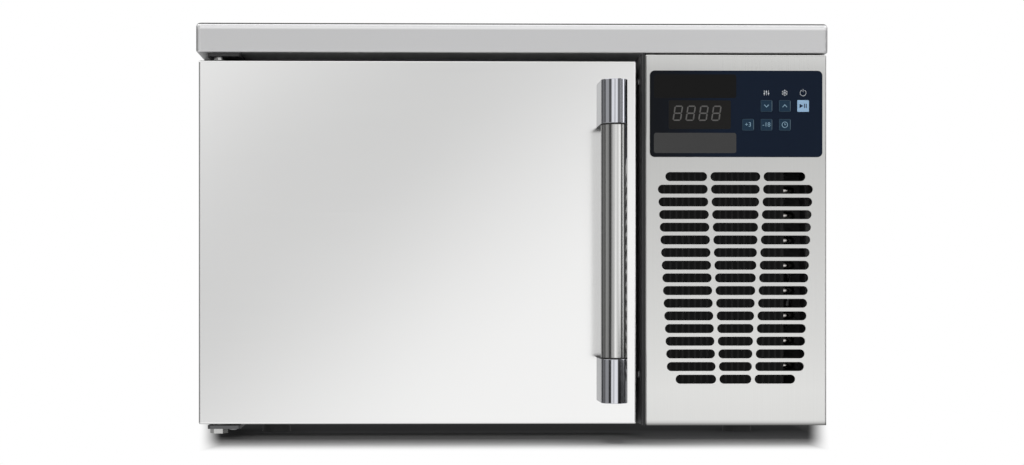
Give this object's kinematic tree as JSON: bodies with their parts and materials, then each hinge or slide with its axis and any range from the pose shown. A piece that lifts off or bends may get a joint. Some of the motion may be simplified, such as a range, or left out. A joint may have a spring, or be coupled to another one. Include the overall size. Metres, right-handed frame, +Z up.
{
  "type": "blast freezer",
  "caption": "Countertop blast freezer: stainless cabinet with a side-hinged insulated door, tubular pull handle, slotted machine-bay panel and push-key control panel.",
  "frame": {"origin": "middle of the whole outline, on the surface under the feet", "axes": "+X to the right of the front, +Y from the front to the back, +Z up"},
  "size_m": [0.659, 0.672, 0.433],
  "materials": {
    "casing_stainless": "fine brushed stainless steel",
    "galvanised_sheet": "dull galvanised sheet",
    "liner_stainless": "smooth stainless steel",
    "black_plastic": "fine-grained black plastic",
    "door_liner_plastic": "moulded light grey plastic",
    "insulation_foam": "rigid foam, hidden",
    "black_rubber": "matt black rubber",
    "handle_polished": "polished metal",
    "handle_satin": "satin stainless tube",
    "overlay_print": "dark blue printed film",
    "display_lens": "smoked window",
    "key_dark": "dark blue key cap",
    "key_light": "light blue key cap",
    "copper_tube": "bare copper",
    "condenser_tubes": "copper under black coating",
    "condenser_fins": "aluminium fins under black coating",
    "aluminium_fins": "pressed aluminium fins",
    "black_paint": "black paint",
    "fan_plastic": "black moulded plastic",
    "motor_metal": "grey enamel",
    "circuit_board": "green board",
    "display_body": "black display body",
    "bush_nylon": "dark grey nylon",
    "fastener_steel": "zinc-plated steel"
  },
  "bodies": {
    "cabinet": {"top_cover": "casing_stainless", "front_panel": "casing_stainless", "left_side_panel": "casing_stainless", "right_side_panel": "casing_stainless", "base_pan": "galvanised_sheet", "rear_panel": "galvanised_sheet", "partition_wall": "galvanised_sheet", "condenser_fan_bracket": "galvanised_sheet", "evaporator_fan_bracket": "galvanised_sheet", "chamber_liner": "liner_stainless", "pan_rack_left": "liner_stainless", "pan_rack_right": "liner_stainless", "rack_studs": "liner_stainless", "fan_baffle": "liner_stainless", "evaporator_fan_guard": "liner_stainless", "bay_side_trim": "black_plastic", "door_frame": "black_plastic", "control_box": "black_plastic", "compressor_terminal_cover": "black_plastic", "power_gland": "black_plastic", "condenser_shroud": "black_plastic", "cabinet_insulation": "insulation_foam", "feet": "black_rubber", "compressor_mounts": "black_rubber", "control_overlay": "overlay_print", "display_window": "display_lens", "condenser_bends": "condenser_tubes", "discharge_pipe": "copper_tube", "suction_pipe": "copper_tube", "liquid_pipe": "copper_tube", "filter_drier": "copper_tube", "condenser_coil": "condenser_fins", "evaporator_coil": "aluminium_fins", "compressor": "black_paint", "upper_hinge_bracket": "black_paint", "evaporator_fan_motor": "motor_metal", "condenser_fan_motor": "motor_metal", "control_board": "circuit_board", "display_module": "display_body", "casing_screws": "fastener_steel", "hinge_pins": "fastener_steel", "lower_hinge_bracket": "fastener_steel"},
    "door": {"door_outer_skin": "casing_stainless", "door_insulation": "insulation_foam", "door_inner_liner": "door_liner_plastic", "door_gasket": "black_rubber", "hinge_bushes": "bush_nylon", "handle_grip": "handle_satin", "handle_mount_upper": "handle_polished", "handle_mount_lower": "handle_polished", "handle_seals": "black_rubber", "handle_screws": "fastener_steel"},
    "key_start_cap": {"key_start": "key_light"},
    "key_up_cap": {"key_up": "key_dark"},
    "key_down_cap": {"key_down": "key_dark"},
    "key_mode_cap": {"key_mode": "key_dark"},
    "key_freeze_cap": {"key_freeze": "key_dark"},
    "key_chill_cap": {"key_chill": "key_dark"},
    "evaporator_rotor": {"evaporator_fan": "fan_plastic"},
    "condenser_rotor": {"condenser_fan": "fan_plastic"}
  },
  "joints": [
    {"name": "door_hinge", "type": "hinge", "parent": "cabinet", "child": "door", "pos_m": [-0.307, -0.268, 0.2046], "axis": [0, 0, -1], "range_deg": [0, 120]},
    {"name": "key_start_press", "type": "slide", "parent": "cabinet", "child": "key_start_cap", "axis": [0, 1, 0], "range_m": [0, 0.0004], "stiffness_N_per_m": 2000},
    {"name": "key_up_press", "type": "slide", "parent": "cabinet", "child": "key_up_cap", "axis": [0, 1, 0], "range_m": [0, 0.0004], "stiffness_N_per_m": 2000},
    {"name": "key_down_press", "type": "slide", "parent": "cabinet", "child": "key_down_cap", "axis": [0, 1, 0], "range_m": [0, 0.0004], "stiffness_N_per_m": 2000},
    {"name": "key_mode_press", "type": "slide", "parent": "cabinet", "child": "key_mode_cap", "axis": [0, 1, 0], "range_m": [0, 0.0004], "stiffness_N_per_m": 2000},
    {"name": "key_freeze_press", "type": "slide", "parent": "cabinet", "child": "key_freeze_cap", "axis": [0, 1, 0], "range_m": [0, 0.0004], "stiffness_N_per_m": 2000},
    {"name": "key_chill_press", "type": "slide", "parent": "cabinet", "child": "key_chill_cap", "axis": [0, 1, 0], "range_m": [0, 0.0004], "stiffness_N_per_m": 2000},
    {"name": "evaporator_fan_spin", "type": "hinge", "parent": "cabinet", "child": "evaporator_rotor", "pos_m": [-0.099, 0.172, 0.207], "axis": [0, 1, 0], "continuous": true},
    {"name": "condenser_fan_spin", "type": "hinge", "parent": "cabinet", "child": "condenser_rotor", "pos_m": [0.23575, -0.2, 0.14915], "axis": [0, 1, 0], "continuous": true}
  ]
}
